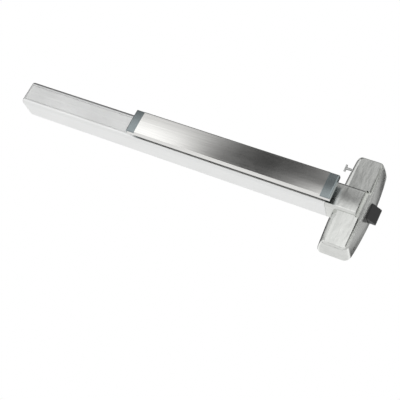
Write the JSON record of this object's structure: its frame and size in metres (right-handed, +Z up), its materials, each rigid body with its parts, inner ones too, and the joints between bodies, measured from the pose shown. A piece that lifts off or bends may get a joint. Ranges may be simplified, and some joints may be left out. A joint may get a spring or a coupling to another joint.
{
  "type": "panic exit bar",
  "caption": "Rim panic exit bar for a single door: push pad in a lipped case, ribbed filler panel and a T-shaped latch head whose bevelled bolt draws back when the pad is pressed.",
  "frame": {"origin": "on the door face, in the middle of the latch head's four door screws, level with the bar's centre line", "axes": "+X along the bar towards the latch bolt, +Y into the door, +Z up"},
  "size_m": [0.8625, 0.09, 0.213],
  "materials": {
    "case_aluminium": "satin anodised",
    "stainless_skin": "brushed along the bar",
    "grey_plastic": "fine moulded grain",
    "cast_satin": "satin brushed casting",
    "black_bolt": "black oxide",
    "zinc_steel": "zinc plated",
    "steel": "ground",
    "spring_steel": "bright wire",
    "rubber": "matt",
    "nylon": "moulded"
  },
  "bodies": {
    "case": {"rail": "case_aluminium", "rail_cover": "case_aluminium", "end_cap": "case_aluminium", "end_bracket": "zinc_steel", "end_cap_screws": "zinc_steel", "bracket_hinge": "zinc_steel", "bracket_latch": "zinc_steel", "pivot_pins": "steel", "bracket_screws": "zinc_steel", "bar_guide_hinge": "nylon", "bar_guide_latch": "nylon", "guide_screws": "zinc_steel", "return_spring": "spring_steel", "pad_bumpers": "rubber", "head_cover": "cast_satin", "head_chassis": "zinc_steel", "rail_screws": "zinc_steel", "latch_housing": "zinc_steel", "housing_screws": "zinc_steel", "bolt_springs": "spring_steel", "cover_screws": "black_bolt", "tee_screw": "zinc_steel"},
    "pad": {"pad_skin": "stainless_skin", "push_rail": "steel", "pad_cap_latch": "grey_plastic", "pad_cap_hinge": "grey_plastic", "pad_cap_screws": "zinc_steel", "pad_pins": "steel"},
    "crank_h": {"crank_hinge": "zinc_steel"},
    "crank_l": {"crank_latch": "zinc_steel"},
    "bar": {"pull_bar": "zinc_steel", "bar_pins": "steel", "spring_collar": "steel"},
    "bolt": {"latch_bolt": "black_bolt", "bolt_pin": "steel"}
  },
  "joints": [
    {"name": "pad_press", "type": "slide", "parent": "case", "child": "pad", "axis": [0, 1, 0], "range_m": [0, 0.0175], "stiffness_N_per_m": 900, "springref_m": -0.012},
    {"name": "crank_hinge_turn", "type": "hinge", "parent": "case", "child": "crank_h", "pos_m": [-0.42, -0.03725, 0], "axis": [0, 0, 1], "range_deg": [0, 46.76]},
    {"name": "crank_latch_turn", "type": "hinge", "parent": "case", "child": "crank_l", "pos_m": [-0.15, -0.03725, 0], "axis": [0, 0, 1], "range_deg": [0, 46.76]},
    {"name": "bar_pull", "type": "slide", "parent": "case", "child": "bar", "axis": [-1, 0, 0], "range_m": [0, 0.01902], "deforming": ["return_spring"]},
    {"name": "bolt_retract", "type": "slide", "parent": "case", "child": "bolt", "axis": [-1, 0, 0], "range_m": [0, 0.01902], "deforming": ["bolt_springs"]}
  ],
  "couplings": [
    {"joint": "crank_hinge_turn", "follows": "pad_press", "rad_per_m": 46.587},
    {"joint": "crank_latch_turn", "follows": "pad_press", "rad_per_m": 46.587},
    {"joint": "bar_pull", "follows": "pad_press", "ratio": 1.0857},
    {"joint": "bolt_retract", "follows": "pad_press", "ratio": 1.0857}
  ]
}
